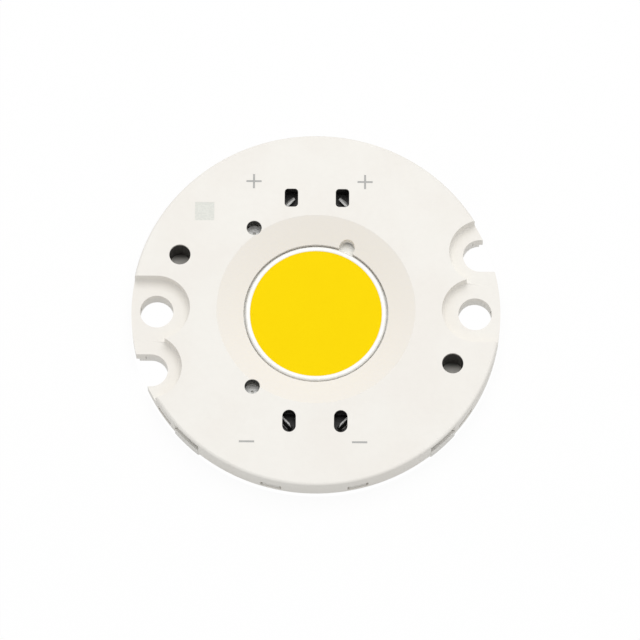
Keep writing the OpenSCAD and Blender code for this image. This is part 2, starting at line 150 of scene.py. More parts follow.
class Shader:
    """Builds one procedural material on Object coordinates, in millimetres."""

    def __init__(self, name: str) -> None:
        """Starts a material.

        Args:
            name: The material's name.
        """
        self.material = bpy.data.materials.new(name)
        self.material.use_nodes = True
        self.tree = self.material.node_tree
        self.tree.nodes.clear()
        output = self.tree.nodes.new("ShaderNodeOutputMaterial")
        self.surface = self.tree.nodes.new("ShaderNodeBsdfPrincipled")
        self.tree.links.new(self.surface.outputs["BSDF"], output.inputs["Surface"])
        coords = self.tree.nodes.new("ShaderNodeTexCoord")
        self.mm = self.vector("MULTIPLY", coords.outputs["Object"], (1 / MM,) * 3)
        parts = self.tree.nodes.new("ShaderNodeSeparateXYZ")
        self.tree.links.new(self.mm, parts.inputs[0])
        self.x, self.y, self.z = parts.outputs
        self.radius = self.distance((0.0, 0.0))

    def feed(self, target: Socket, value: "Value | tuple") -> None:
        """Links or sets one input in this material."""
        join(self.tree, target, value)

    def vector(self, operation: str, a: "Value | tuple", b: "Value | tuple") -> Socket:
        """Works out a vector from two."""
        return reckon(self.tree, operation, a, b, "VectorMath")

    def math(self, operation: str, a: Value, b: Value = 0.0) -> Socket:
        """Works out a value from one or two."""
        return reckon(self.tree, operation, a, b)

    def both(self, a: Value, b: Value) -> Socket:
        """Multiplies two values, which gives where two masks meet."""
        return self.math("MULTIPLY", a, b)

    def length(self, dx: Socket, dy: Socket) -> Socket:
        """Gives the length of a flat vector."""
        return self.math("SQRT", self.math("ADD", self.both(dx, dx), self.both(dy, dy)))

    def graded(self, grain: Socket, band: Band, low: float = 0.0, high: float = 1.0) -> Socket:
        """Spreads a noise value's band over a range of results."""
        return self.fade(grain, *band.value, low, high)

    def distance(self, centre: Pair, flip: bool = False) -> Socket:
        """Gives the distance from an upright line.

        Args:
            centre: The line's place, in millimetres.
            flip: Whether it is measured from the opposite place.

        Returns:
            The distance in millimetres.
        """
        sign = -1.0 if flip else 1.0
        dx = self.math("SUBTRACT", self.x, sign * centre[0])
        dy = self.math("SUBTRACT", self.y, sign * centre[1])
        return self.length(dx, dy)

    def fade(
        self, value: Value, start: float, end: float, low: float = 0.0, high: float = 1.0
    ) -> Socket:
        """Turns one range of a value smoothly into another.

        Args:
            value: The value.
            start: Where the result is low.
            end: Where the result is high.
            low: Result at start.
            high: Result at end.

        Returns:
            The result, held at its limits outside the range.
        """
        node = self.tree.nodes.new("ShaderNodeMapRange")
        node.interpolation_type = "SMOOTHSTEP"
        self.feed(node.inputs["Value"], value)
        limits = {"From Min": start, "From Max": end, "To Min": low, "To Max": high}
        for name, number in limits.items():
            node.inputs[name].default_value = number
        return node.outputs["Result"]

    def noise(
        self, size: float, stretch: Triple = (1.0,) * 3, detail: float = 3.0
    ) -> Socket:
        """Adds noise of a grain size.

        Args:
            size: Grain size in millimetres.
            stretch: How many times longer the grain is along each axis.
            detail: Octaves of finer detail.

        Returns:
            A value round 0.5.
        """
        node = self.tree.nodes.new("ShaderNodeTexNoise")
        node.inputs["Scale"].default_value = 1.0 / size
        node.inputs["Detail"].default_value = detail
        scale = tuple(1.0 / s for s in stretch)
        self.feed(node.inputs["Vector"], self.vector("MULTIPLY", self.mm, scale))
        return node.outputs["Fac"]

    def mix(self, factor: Value, a: "Socket | Colour", b: "Socket | Colour") -> Socket:
        """Mixes two colours.

        Args:
            factor: Share of the second.
            a: First colour.
            b: Second colour.

        Returns:
            The mixed colour.
        """
        node = self.tree.nodes.new("ShaderNodeMix")
        node.data_type = "RGBA"
        self.feed(node.inputs[0], factor)
        # The colour sockets stand after the node's number and vector sockets.
        for target, colour in ((node.inputs[6], a), (node.inputs[7], b)):
            plain = not isinstance(colour, Socket)
            self.feed(target, (*colour, 1.0) if plain else colour)
        return node.outputs[2]

    def bump(self, height: Socket, depth: float, under: Socket | None = None) -> Socket:
        """Raises the surface by a height field.

        Args:
            height: The field, from 0 to 1.
            depth: Its depth in millimetres.
            under: The normal that it is added to.

        Returns:
            The new normal.
        """
        node = self.tree.nodes.new("ShaderNodeBump")
        node.inputs["Distance"].default_value = depth * MM
        self.feed(node.inputs["Height"], height)
        if under is not None:
            self.feed(node.inputs["Normal"], under)
        return node.outputs["Normal"]

    def set(self, **values: "Value | tuple") -> None:
        """Sets the surface's sockets, which are named with _ for a space."""
        for name, value in values.items():
            self.feed(self.surface.inputs[name.replace("_", " ")], value)


@dataclass(frozen=True)
class Hollow:
    """A deep opening that light hardly gets into, painted dark as shade; sizes in millimetres."""

    plan: Plan
    places: Places
    centre: Pair
    half: Pair
    top: float
    reach: float
    dark: float
    floor: float | None = None
    bottom: float = 0.3
    edge: float = 0.02
    foot: float = 0.05
    wall_from: float = -0.3
    shade_from: float = 0.25
    shade_to: float = 0.95
    shade: float = 0.9
    floor_rise: Pair = (0.02, 0.06)

    def mask(self, shader: Shader) -> Socket:
        """Gives how dark the painted shade in the opening is at a point.

        Args:
            shader: The material.

        Returns:
            0 outside and up to dark deep inside.
        """
        if self.plan is Plan.ROUND:
            inside = self.round_mask(shader, False)
            if self.places is Places.OPPOSITE:
                inside = shader.math("MAXIMUM", inside, self.round_mask(shader, True))
        else:
            x, y = shader.x, shader.y
            if self.places is Places.QUARTERS:
                x, y = shader.math("ABSOLUTE", x), shader.math("ABSOLUTE", y)
            dx = shader.math("ABSOLUTE", shader.math("SUBTRACT", x, self.centre[0]))
            dy = shader.math("ABSOLUTE", shader.math("SUBTRACT", y, self.centre[1]))
            inside = shader.both(
                shader.fade(dx, self.half[0] + self.edge, self.half[0]),
                shader.fade(dy, self.half[1] + self.edge, self.half[1]),
            )
        depth = shader.fade(shader.z, self.top, self.top - self.reach, 0.0, self.dark)
        above = shader.fade(shader.z, self.bottom - self.foot, self.bottom)
        return shader.both(inside, shader.both(depth, above))

    def round_mask(self, shader: Shader, flip: bool) -> Socket:
        """Gives where one round opening is.

        Args:
            shader: The material.
            flip: Whether it is the one on the opposite side of the centre.

        Returns:
            1 inside it; where it has a floor, its -Y wall and the middle of its floor stay pale.
        """
        half = self.half[0]
        inside = shader.fade(shader.distance(self.centre, flip), half + self.edge, half)
        if self.floor is None:
            return inside
        middle = -self.centre[1] if flip else self.centre[1]
        wall = shader.fade(shader.y, middle + self.wall_from * half, middle)
        near, far = middle + self.shade_from * half, middle + self.shade_to * half
        ground = shader.fade(shader.y, near, far, 0.0, self.shade)
        low, high = (self.floor + rise for rise in self.floor_rise)
        above = shader.fade(shader.z, low, high)
        lower = shader.both(ground, shader.math("SUBTRACT", 1.0, above))
        side = shader.math("ADD", shader.both(wall, above), lower)
        return shader.both(inside, side)


def darkness(shader: Shader, hollows: Iterable[Hollow]) -> Socket:
    """Gives the darkest of several hollows' painted shade masks at each point."""
    masks = (hollow.mask(shader) for hollow in hollows)
    return reduce(lambda total, mask: shader.math("MAXIMUM", total, mask), masks)


# ---- finishes ----


@dataclass(frozen=True)
class Finish:
    """A finish of this object. Each kind paints its own surface."""

    def paint(self, s: Shader) -> None:
        """Sets the surface of a material."""
        raise NotImplementedError

    def build(self, name: str) -> Material:
        """Builds the finish's material.

        Args:
            name: Its name.

        Returns:
            The material.
        """
        shader = Shader(name)
        self.paint(shader)
        return shader.material


@dataclass(frozen=True)
class MouldedWhite(Finish):
    """White moulded thermoplastic with a fine spark-eroded grain; painted shade darkens its bevel
    and its deep hollows.
    """

    colour: Colour = (0.86, 0.838, 0.79)
    warm: Colour = (0.845, 0.815, 0.765)
    shadow: Colour = (0.012, 0.011, 0.01)
    coat: Coat = Coat.MATT
    grain: float = 0.09
    grain_depth: float = 0.0022
    coarse: float = 6.0
    rough: Pair = (-0.05, 0.06)
    flow_size: float = 7.0
    flow_stretch: Triple = (1.0, 1.0, 2.5)
    hollows: tuple[Hollow, ...] = ()
    bevel: Pair = (7.1, 9.82)
    # Colour of the painted shade on the bevel round the opening: slightly darker and warmer.
    bevel_painted_shade: Colour = (0.86, 0.822, 0.765)
    bevel_soft: float = 0.03
    bevel_below: Pair = (0.01, 0.05)
    top: float = 3.4
    pins: tuple[Pair, ...] = ()
    pin_r: float = 1.1
    pin_below: float = 0.2
    pin_tint: Colour = (0.6, 0.59, 0.56)
    pin_share: float = 0.12
    pin_depth: float = 0.02
    pin_soft: Pair = (0.04, 0.02)

    def paint(self, s: Shader) -> None:
        """Sets the surface.

        Args:
            s: The material.
        """
        flow = s.graded(s.noise(self.flow_size, self.flow_stretch), Band.NARROW)
        base = s.mix(flow, self.colour, self.warm)
        # Painted shade: the bevel round the opening is tinted slightly darker and warmer.
        bevel_shade_mask = s.both(
            s.fade(s.radius, self.bevel[1] + self.bevel_soft, self.bevel[1]),
            s.fade(s.z, self.top - self.bevel_below[0], self.top - self.bevel_below[1]),
        )
        base = s.mix(bevel_shade_mask, base, self.bevel_painted_shade)
        # Painted shade: deep hollows are mixed towards the near-black shadow colour.
        if self.hollows:
            base = s.mix(darkness(s, self.hollows), base, self.shadow)
        fine = s.noise(self.grain)
        coarse = s.noise(self.grain * self.coarse, detail=1.0)
        rough = s.graded(coarse, Band.WIDE, *(self.coat.value + part for part in self.rough))
        normal = s.bump(coarse, self.grain_depth * 2.0)
        normal = s.bump(fine, self.grain_depth, normal)
        for pin in self.pins:
            low = s.fade(s.z, self.pin_below + self.pin_soft[1], self.pin_below)
            disc = s.both(self.pin_mask(s, pin), low)
            base = s.mix(s.both(disc, self.pin_share), base, self.pin_tint)
            normal = s.bump(s.math("SUBTRACT", 1.0, disc), self.pin_depth, normal)
        s.set(Base_Color=base, Roughness=rough, Normal=normal, IOR=1.5, Specular_IOR_Level=0.35)

    def pin_mask(self, shader: Shader, pin: Pair) -> Socket:
        """Gives where an ejector pin touched the underside, in each quarter.

        Args:
            shader: The material.
            pin: The pin's place in the first quarter, in millimetres.

        Returns:
            1 inside its disc.
        """
        dx = shader.math("SUBTRACT", shader.math("ABSOLUTE", shader.x), pin[0])
        dy = shader.math("SUBTRACT", shader.math("ABSOLUTE", shader.y), pin[1])
        return shader.fade(shader.length(dx, dy), self.pin_r + self.pin_soft[0], self.pin_r)


@dataclass(frozen=True)
class BrushedAluminium(Finish):
    """Rolled and brushed aluminium sheet, brushed along X."""

    light: Colour = (0.83, 0.835, 0.84)
    dark: Colour = (0.68, 0.69, 0.7)
    line_w: float = 0.05
    line_len: float = 60.0
    relief: float = 0.0015
    cloud: float = 5.0
    rough: Pair = (0.3, 0.42)
    cloud_rough: float = 0.06

    def paint(self, s: Shader) -> None:
        """Sets the surface.

        Args:
            s: The material.
        """
        lines = s.noise(self.line_w, (self.line_len, 1.0, 1.0), 4.0)
        clouds = s.graded(s.noise(self.cloud), Band.WIDE)
        colour = s.mix(s.graded(lines, Band.WIDE), self.dark, self.light)
        streaks = s.graded(lines, Band.WIDE, *self.rough)
        rough = s.math("ADD", streaks, s.both(clouds, self.cloud_rough))
        s.set(Base_Color=colour, Metallic=1.0, Roughness=rough, Normal=s.bump(lines, self.relief))


@dataclass(frozen=True)
class GlossMask(Finish):
    """Printed white mask: thin, glossy and slightly uneven."""

    colour: Colour = (0.86, 0.86, 0.83)
    thin: Colour = (0.78, 0.77, 0.72)
    cloud: float = 1.8
    weave: float = 0.25
    relief: float = 0.002
    lacquer: float = 0.3
    lacquer_rough: float = 0.12

    def paint(self, s: Shader) -> None:
        """Sets the surface.

        Args:
            s: The material.
        """
        weave = s.noise(self.weave)
        colour = s.mix(s.graded(s.noise(self.cloud), Band.SPARSE), self.colour, self.thin)
        s.set(
            Base_Color=colour,
            Roughness=s.graded(weave, Band.WIDE, Coat.GLOSS.value, Coat.SATIN.value),
            Normal=s.bump(weave, self.relief),
            Coat_Weight=self.lacquer,
            Coat_Roughness=self.lacquer_rough,
        )


@dataclass(frozen=True)
class DamSilicone(Finish):
    """White filled silicone, laid as one bead."""

    colour: Colour = (0.93, 0.925, 0.9)
    shade: Colour = (0.88, 0.87, 0.84)
    ripple: float = 0.5
    ripple_stretch: Triple = (1.0, 1.0, 3.0)
    relief: float = 0.004
    rough: Pair = (0.26, 0.38)
    skin: float = 0.25
    skin_rough: float = 0.2

    def paint(self, s: Shader) -> None:
        """Sets the surface.

        Args:
            s: The material.
        """
        ripple = s.noise(self.ripple, self.ripple_stretch, 2.0)
        colour = s.mix(s.graded(ripple, Band.WIDE), self.colour, self.shade)
        s.set(
            Base_Color=colour,
            Roughness=s.graded(ripple, Band.WIDE, *self.rough),
            Normal=s.bump(ripple, self.relief),
            Coat_Weight=self.skin,
            Coat_Roughness=self.skin_rough,
        )


@dataclass(frozen=True)
class PhosphorGel(Finish):
    """Clear silicone gel filled with yellow phosphor powder."""

    colour: Colour = (0.95, 0.7, 0.0008)
    deep: Colour = (0.93, 0.66, 0.0004)
    grain: float = 0.06
    relief: float = 0.0015
    settled: float = 2.6
    settled_share: float = 0.35
    settled_relief: float = 0.003
    edge_r: float = 6.5
    edge_w: float = 0.3
    edge_share: float = 0.12
    rough: Pair = (0.45, 0.58)
    gloss: float = 0.03

    def paint(self, s: Shader) -> None:
        """Sets the surface.

        Args:
            s: The material.
        """
        powder = s.noise(self.grain, detail=4.0)
        settle = s.noise(self.settled, detail=2.0)
        colour = s.mix(s.graded(powder, Band.POWDER), self.colour, self.deep)
        colour = s.mix(s.graded(settle, Band.CLOUDS, 0.0, self.settled_share), colour, self.deep)
        rim = s.fade(s.radius, self.edge_r - self.edge_w, self.edge_r, 0.0, self.edge_share)
        colour = s.mix(rim, colour, self.deep)
        s.set(
            Base_Color=colour,
            Roughness=s.graded(powder, Band.WIDE, *self.rough),
            Normal=s.bump(powder, self.relief, s.bump(settle, self.settled_relief)),
            Specular_IOR_Level=self.gloss,
        )


@dataclass(frozen=True)
class TinnedSpring(Finish):
    """Tin-plated spring bronze, painted near-black as shade where it stands deep in the housing."""

    bright: Colour = (0.96, 0.96, 0.94)
    # dull is the near-black colour of the painted shade deep in the housing.
    dull: Colour = (0.02, 0.019, 0.018)
    stained: Colour = (0.82, 0.81, 0.78)
    stain: float = 0.9
    stain_share: float = 0.25
    drawn: float = 0.08
    drawn_len: float = 14.0
    relief: float = 0.001
    rough: Pair = (0.4, 0.55)
    metallic: float = 0.3
    # Where the painted shade falls: boxes round the slot, the wall and the spine, and a band of the
    # front face.
    slot: Pair = (2.53, 11.6)
    slot_half: Pair = (0.75, 1.25)
    bright_z: float = 1.66
    bright_edge: float = 0.03
    wall_half: Pair = (1.6, 0.55)
    spine_half: Pair = (1.0, 0.42)
    strip_top: float = 3.0
    zone_edge: float = 0.1
    face_low: Pair = (1.78, 1.83)
    face_high: Pair = (2.3, 2.24)
    face_y: Pair = (-9.0, -10.0)

    def paint(self, s: Shader) -> None:
        """Sets the surface.

        Args:
            s: The material.
        """
        draw = s.noise(self.drawn, (self.drawn_len, 1.0, 1.0), 3.0)
        stain = s.graded(s.noise(self.stain), Band.SPARSE, 0.0, self.stain_share)
        plated = s.mix(stain, self.bright, self.stained)
        s.set(
            # Painted shade: the strip is mixed to near black where it stands deep in the housing.
            Base_Color=s.mix(self.shaded(s), plated, self.dull),
            Metallic=self.metallic,
            Roughness=s.graded(draw, Band.WIDE, *self.rough),
            Normal=s.bump(draw, self.relief),
        )

    def shaded(self, shader: Shader) -> Socket:
        """Gives where the strip gets painted shade, standing too deep in the housing to catch the
        light.

        Args:
            shader: The material.

        Returns:
            1 where it is painted dark as shade.
        """
        x, y = self.slot
        end = self.slot_half[1]
        zones = (
            ((x, y), self.slot_half, self.bright_z, self.bright_edge),
            ((x, y + end), self.wall_half, self.strip_top, self.zone_edge),
            ((x, y - end), self.spine_half, self.strip_top, self.zone_edge),
        )
        hollows = [
            Hollow(Plan.BOX, Places.QUARTERS, centre, half, top, reach, dark=1.0)
            for centre, half, top, reach in zones
        ]
        height = shader.both(
            shader.fade(shader.z, *self.face_low), shader.fade(shader.z, *self.face_high)
        )
        face = shader.both(height, shader.fade(shader.y, *self.face_y))
        return shader.math("MAXIMUM", darkness(shader, hollows), face)


@dataclass(frozen=True)
class Grained(Finish):
    """Two shades in a fine grain: a plated metal, a fired layer, a crystal or burnt ink."""

    colour: Colour
    second: Colour
    grain: float
    rough: Pair
    band: Band = Band.NARROW
    length: float = 1.0
    metallic: float = 0.0
    relief: float = 0.001

    def paint(self, s: Shader) -> None:
        """Sets the surface.

        Args:
            s: The material.
        """
        grain = s.noise(self.grain, (self.length, 1.0, 1.0))
        s.set(
            Base_Color=s.mix(s.graded(grain, self.band), self.colour, self.second),
            Metallic=self.metallic,
            Roughness=s.graded(grain, Band.WIDE, *self.rough),
            Normal=s.bump(grain, self.relief),
        )


# ---- geometry building ----


class PatternTree:
    """A Geometry Nodes tree with named inputs that ends in realised, finished geometry."""

    def __init__(self, name: str) -> None:
        """Starts a tree.

        Args:
            name: The tree's name.
        """
        self.group = bpy.data.node_groups.new(name, "GeometryNodeTree")
        face = self.group.interface
        face.new_socket("Geometry", in_out="INPUT", socket_type="NodeSocketGeometry")
        face.new_socket("Geometry", in_out="OUTPUT", socket_type="NodeSocketGeometry")
        self.inlet = self.group.nodes.new("NodeGroupInput")
        self.outlet = self.group.nodes.new("NodeGroupOutput")
        self.ids: dict[str, str] = {}

    def size(self, name: str, kind: str = "Float") -> Socket:
        """Adds a named input.

        Args:
            name: The input's name.
            kind: Float or Int.

        Returns:
            The socket inside the tree.
        """
        kind = f"NodeSocket{kind}"
        made = self.group.interface.new_socket(name, in_out="INPUT", socket_type=kind)
        self.ids[name] = made.identifier
        return self.inlet.outputs[name]

    def add(
        self, kind: str, links: dict[str, object] | None = None, **settings: object
    ) -> bpy.types.Node:
        """Adds a node.

        Args:
            kind: The node's type.
            links: Sockets or constants for its inputs, by name.
            **settings: Its own settings.

        Returns:
            The node.
        """
        node = self.group.nodes.new(kind)
        for name, value in settings.items():
            setattr(node, name, value)
        for name, value in (links or {}).items():
            target = next(i for i in node.inputs if i.name == name and i.enabled)
            join(self.group, target, value)
        return node

    def calc(self, operation: str, a: Value, b: Value = 0.0) -> Socket:
        """Works out a value from one or two."""
        return reckon(self.group, operation, a, b)

    def copies(self, points: Socket, instance: Socket, **more: Socket) -> Socket:
        """Puts a copy of one shape on each point."""
        links = {"Points": points, "Instance": instance, **more}
        return self.add("GeometryNodeInstanceOnPoints", links).outputs["Instances"]

    def attribute(self, name: str) -> Socket:
        """Reads a number kept on each point, by its name."""
        node = self.add("GeometryNodeInputNamedAttribute", {"Name": name}, data_type="FLOAT")
        return next(o for o in node.outputs if o.name == "Attribute" and o.enabled)

    def end(self, geometry: Socket, material: Material) -> None:
        """Realises the geometry, gives it its finish and closes the tree.

        Args:
            geometry: The geometry.
            material: The finish.
        """
        real = self.add("GeometryNodeRealizeInstances", {"Geometry": geometry})
        parts = {"Geometry": real.outputs["Geometry"], "Material": material}
        dressed = self.add("GeometryNodeSetMaterial", parts)
        self.group.links.new(dressed.outputs["Geometry"], self.outlet.inputs["Geometry"])

    def bake(self, source: Object, values: dict[str, float | int]) -> Object:
        """Runs the tree on an object and keeps the result as a plain mesh.

        Args:
            source: The object that carries the starting points.
            values: The named inputs' values.

        Returns:
            The same object with the finished mesh.
        """
        modifier = source.modifiers.new("Pattern", "NODES")
        modifier.node_group = self.group
        for name, value in values.items():
            modifier[self.ids[name]] = value
        graph = bpy.context.evaluated_depsgraph_get()
        mesh = bpy.data.meshes.new_from_object(source.evaluated_get(graph))
        source.modifiers.clear()
        source.data = mesh
        return source


def new_object(name: str, data: bpy.types.ID) -> Object:
    """Puts an object into the scene at the origin.

    Args:
        name: The object's name.
        data: Its mesh, lamp or lens.

    Returns:
        The object.
    """
    made = bpy.data.objects.new(name, data)
    bpy.context.scene.collection.objects.link(made)
    return made


def shaped(name: str, shape: bmesh.types.BMesh, material: Material) -> Object:
    """Turns a worked shape into a finished object.

    Args:
        name: The object's name.
        shape: The shape, which is freed.
        material: The finish.

    Returns:
        The object.
    """
    mesh = bpy.data.meshes.new(name)
    shape.to_mesh(mesh)
    shape.free()
    mesh.materials.append(material)
    return new_object(name, mesh)


def point_object(
    name: str,
    points: list[Triple],
    edges: list[tuple[int, int]] | None = None,
    **numbers: list[float],
) -> Object:
    """Makes an object of points that carry numbers, for a tree to start from.

    Args:
        name: The object's name.
        points: The points in metres.
        edges: Pairs of points that are joined.
        **numbers: One number for each point, by attribute name.

    Returns:
        The object.
    """
    mesh = bpy.data.meshes.new(name)
    mesh.from_pydata(points, edges or [], [])
    for key, values in numbers.items():
        layer = mesh.attributes.new(key, "FLOAT", "POINT")
        layer.data.foreach_set("value", values)
    return new_object(name, mesh)


def turned(
    name: str,
    section: list[Pair],
    material: Material,
    steps: int = 192,
    shift: Callable[[float, float, float], Pair] | None = None,
) -> Object:
    """Turns a closed section round Z into a smooth closed body.

    Args:
        name: The object's name.
        section: Points (radius, z) in metres; radius 0 at an end closes there.
        material: The finish.
        steps: Steps round the axis.
        shift: Changes (angle, radius, z) into a new (radius, z).

    Returns:
        The object.
    """
    shape = bmesh.new()
    rings: list[list[bmesh.types.BMVert]] = []
    for radius, z in section:
        count = 1 if radius == 0 else steps
        ring = []
        for i in range(count):
            angle = 2 * math.pi * i / steps
            r, h = shift(angle, radius, z) if shift and radius else (radius, z)
            ring.append(shape.verts.new((r * math.cos(angle), r * math.sin(angle), h)))
        rings.append(ring)
    closed = section[0][0] != 0
    pairs = list(zip(rings, rings[1:])) + ([(rings[-1], rings[0])] if closed else [])
    for low, high in pairs:
        for i in range(steps):
            j = (i + 1) % steps
            corners = [low[i % len(low)], low[j % len(low)]]
            corners += [high[j % len(high)], high[i % len(high)]]
            shape.faces.new(list(dict.fromkeys(corners))).smooth = True
    bmesh.ops.recalc_face_normals(shape, faces=shape.faces)
    return shaped(name, shape, material)


def keep_edges(made: Object, angle: float = 40.0) -> None:
    """Keeps edges sharper than an angle in degrees crisp under smooth shading."""
    made.data.set_sharp_from_angle(angle=math.radians(angle))


def dress(node: str, material: Material) -> None:
    """Gives a carried-over solid its finish.

    Args:
        node: The solid's name.
        material: The finish.
    """
    solid = frame["nodes"][node]
    if not solid.material_slots:
        solid.data.materials.append(material)
    for holder in solid.material_slots:
        holder.material = material
    LOG.info("%s wears %s", node, material.name)


def place(made: Object, slot: str, *replaced: str) -> None:
    """Fixes a new piece to the body and hides the solids that it stands for.

    Args:
        made: The piece.
        slot: The record's material slot; not used.
        *replaced: The solids that it stands for.
    """
    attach(made, "root")
    if replaced:
        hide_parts(*replaced)
    LOG.info("%s: %d faces", made.name, len(made.data.polygons))


# ---- sub-assemblies ----


def top_of(node: str) -> float:
    """Gives a size that is read from the top of a solid, in metres."""
    return field(default_factory=lambda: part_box(node)[1].z)


@dataclass
class Housing:
    """Cover and frame with the marks sunk into the top face; sizes in metres."""

    top: float = top_of("top_cover")
    slot_centre: Pair = (2.53, 11.6)
    slot_half: Pair = (0.73, 1.22)
    locator: Pair = (13.476, -5.54)
    locator_r: float = 1.05
    locator_floor: float = 0.35
    test_holes: tuple[Pair, ...] = ((-6.18, 8.4), (-6.18, -8.1))
    test_r: float = 0.75
    test_floor: float = 1.6
    cavity_top: float = 2.55
    slot_lip: float = 0.02
    locator_lip: float = 0.04
    test_lip: float = 0.03
    hole_margin: float = 0.05
    cave_margin: float = 0.6
    ink: tuple[Colour, Colour] = ((0.4, 0.4, 0.385), (0.46, 0.455, 0.44))
    cell_ink: tuple[Colour, Colour] = ((0.71, 0.715, 0.665), (0.73, 0.735, 0.69))
    ground_ink: tuple[Colour, Colour] = ((0.74, 0.745, 0.69), (0.77, 0.77, 0.72))
    scan_w: float = 0.05
    scan_len: float = 12.0
    scan_rough: Pair = (0.6, 0.75)
    mark_len: float = 1.5 * MM
    mark_w: float = 0.2 * MM
    mark_depth: float = 0.04 * MM
    inlay_gap: float = 0.004 * MM
    inlay_drop: float = 0.006 * MM
    plus_at: tuple[Pair, ...] = ((-6.25, 13.3), (4.76, 13.3))
    minus_at: tuple[Pair, ...] = ((-6.66, -13.75), (4.39, -13.75))
    square_at: Pair = (-11.1, 10.1)
    square_side: float = 1.9 * MM
    square_cells: int = 14
    square_seed: int = 7

    def hollows(self) -> tuple[Hollow, ...]:
        """Lists the deep openings in the top face, which get painted shade.

        Returns:
            The hollows, in millimetres.
        """
        top = self.top / MM
        slots = Hollow(
            Plan.BOX, Places.QUARTERS, self.slot_centre, self.slot_half,
            top=top - self.slot_lip, reach=0.1, dark=1.0,
        )
        locators = Hollow(
            Plan.ROUND, Places.OPPOSITE, self.locator, (self.locator_r + self.hole_margin, 0),
            top=top - self.locator_lip, reach=0.35, dark=0.96, floor=self.locator_floor,
        )
        found = [slots, locators]
        rows = (
            (self.hole_margin, top - self.test_lip, 0.2),
            (self.cave_margin, self.cavity_top, 0.1),
        )
        for hole in self.test_holes:
            for margin, start, reach in rows:
                found.append(
                    Hollow(
                        Plan.ROUND, Places.ONE, hole, (self.test_r + margin, 0),
                        top=start, reach=reach, dark=0.98, floor=self.test_floor,
                    )
                )
        return tuple(found)

    def dress_mouldings(self) -> None:
        """Finishes the cover and the frame, with painted shade in their deep hollows."""
        hollows = self.hollows()
        dress("top_cover", MouldedWhite(hollows=hollows).build("White moulding"))
        lower = MouldedWhite(
            colour=(0.84, 0.825, 0.785),
            warm=(0.82, 0.8, 0.76),
            hollows=hollows,
            bevel=(0.0, 0.01),
            pins=((4.5, 14.2), (11.4, 11.4)),
        )
        dress("bottom_frame", lower.build("Frame moulding"))

    def burnt(self, name: str, shades: tuple[Colour, Colour]) -> Material:
        """Makes the finish that a marking laser leaves, in fine scan lines."""
        ink = Grained(*shades, self.scan_w, self.scan_rough, length=self.scan_len)
        return ink.build(name)

    def strokes(self) -> list[tuple[float, float, float, float]]:
        """Lists the marks' strokes.

        Returns:
            (x, y, turn, length) of each, in metres and radians.
        """
        arm = (self.mark_len - self.mark_w) / 2
        out = (self.mark_len + self.mark_w) / 4
        quarter = math.pi / 2
        found = []
        for x, y in self.plus_at:
            found.append((x * MM, y * MM, 0.0, self.mark_len))
            found += [(x * MM, y * MM + side * out, quarter, arm) for side in (-1, 1)]
        return found + [(x * MM, y * MM, 0.0, self.mark_len) for x, y in self.minus_at]

    def build_marks(self) -> None:
        """Fills the polarity marks with burnt grey strokes."""
        tree = PatternTree("Polarity strokes")
        width = tree.size("Width")
        depth = tree.size("Depth")
        box = tree.add("ShaderNodeCombineXYZ", {"X": 1.0, "Y": width, "Z": depth})
        bar = tree.add("GeometryNodeMeshCube", {"Size": box.outputs[0]})
        turn = tree.add("ShaderNodeCombineXYZ", {"Z": tree.attribute("turn")})
        angle = tree.add("FunctionNodeEulerToRotation", {"Euler": turn.outputs[0]})
        scale = tree.add("ShaderNodeCombineXYZ", {"X": tree.attribute("reach"), "Y": 1.0, "Z": 1.0})
        bars = tree.copies(
            tree.inlet.outputs["Geometry"],
            bar.outputs["Mesh"],
            Rotation=angle.outputs[0],
            Scale=scale.outputs[0],
        )
        ink = self.burnt("Burnt mark", self.ink)
        tree.end(bars, ink)
        thick = self.mark_depth - self.inlay_drop
        z = self.top - self.mark_depth + thick / 2
        strokes = self.strokes()
        source = point_object(
            "polarity_marks",
            [(x, y, z) for x, y, _, _ in strokes],
            turn=[t for _, _, t, _ in strokes],
            reach=[length - 2 * self.inlay_gap for _, _, _, length in strokes],
        )
        made = tree.bake(source, {"Width": self.mark_w - 2 * self.inlay_gap, "Depth": thick})
        place(made, "white_moulding")

    def build_square(self) -> None:
        """Fills the shallow square with faint burnt cells that carry no code."""
        tree = PatternTree("Burnt cells")
        side = tree.size("Side")
        cells = tree.size("Cells", "Int")
        depth = tree.size("Depth")
        seed = tree.size("Seed", "Int")
        pitch = tree.calc("DIVIDE", side, cells)
        span = tree.calc("SUBTRACT", side, pitch)
        rows = {"Size X": span, "Size Y": span, "Vertices X": cells, "Vertices Y": cells}
        grid = tree.add("GeometryNodeMeshGrid", rows)
        odds = {"Probability": 0.5, "Seed": seed}
        chance = tree.add("FunctionNodeRandomValue", odds, data_type="BOOLEAN")
        picked = next(o for o in chance.outputs if o.enabled)
        box = tree.add("ShaderNodeCombineXYZ", {"X": pitch, "Y": pitch, "Z": depth})
        cell = tree.add("GeometryNodeMeshCube", {"Size": box.outputs[0]})
        dots = tree.copies(grid.outputs["Mesh"], cell.outputs["Mesh"], Selection=picked)
        spread = tree.copies(tree.inlet.outputs["Geometry"], dots)
        ink = self.burnt("Faint burnt cells", self.cell_ink)
        tree.end(spread, ink)
        x, y = self.square_at
        inner = self.square_side - 2 * self.inlay_gap
        thick = self.mark_depth / 4
        ground_top = self.top - self.mark_depth / 2
        source = point_object("burnt_cells", [(x * MM, y * MM, ground_top + thick / 2)])
        counts = {"Cells": self.square_cells, "Seed": self.square_seed}
        place(tree.bake(source, {"Side": inner, "Depth": thick, **counts}), "white_moulding")
        shape = bmesh.new()
        bmesh.ops.create_cube(shape, size=1.0)
        low = self.top - self.mark_depth
        for vert in shape.verts:
            vert.co.x = x * MM + vert.co.x * inner
            vert.co.y = y * MM + vert.co.y * inner
            vert.co.z = low + (vert.co.z + 0.5) * (ground_top - low)
        ground = self.burnt("Faint burnt ground", self.ground_ink)
        place(shaped("burnt_square", shape, ground), "white_moulding")


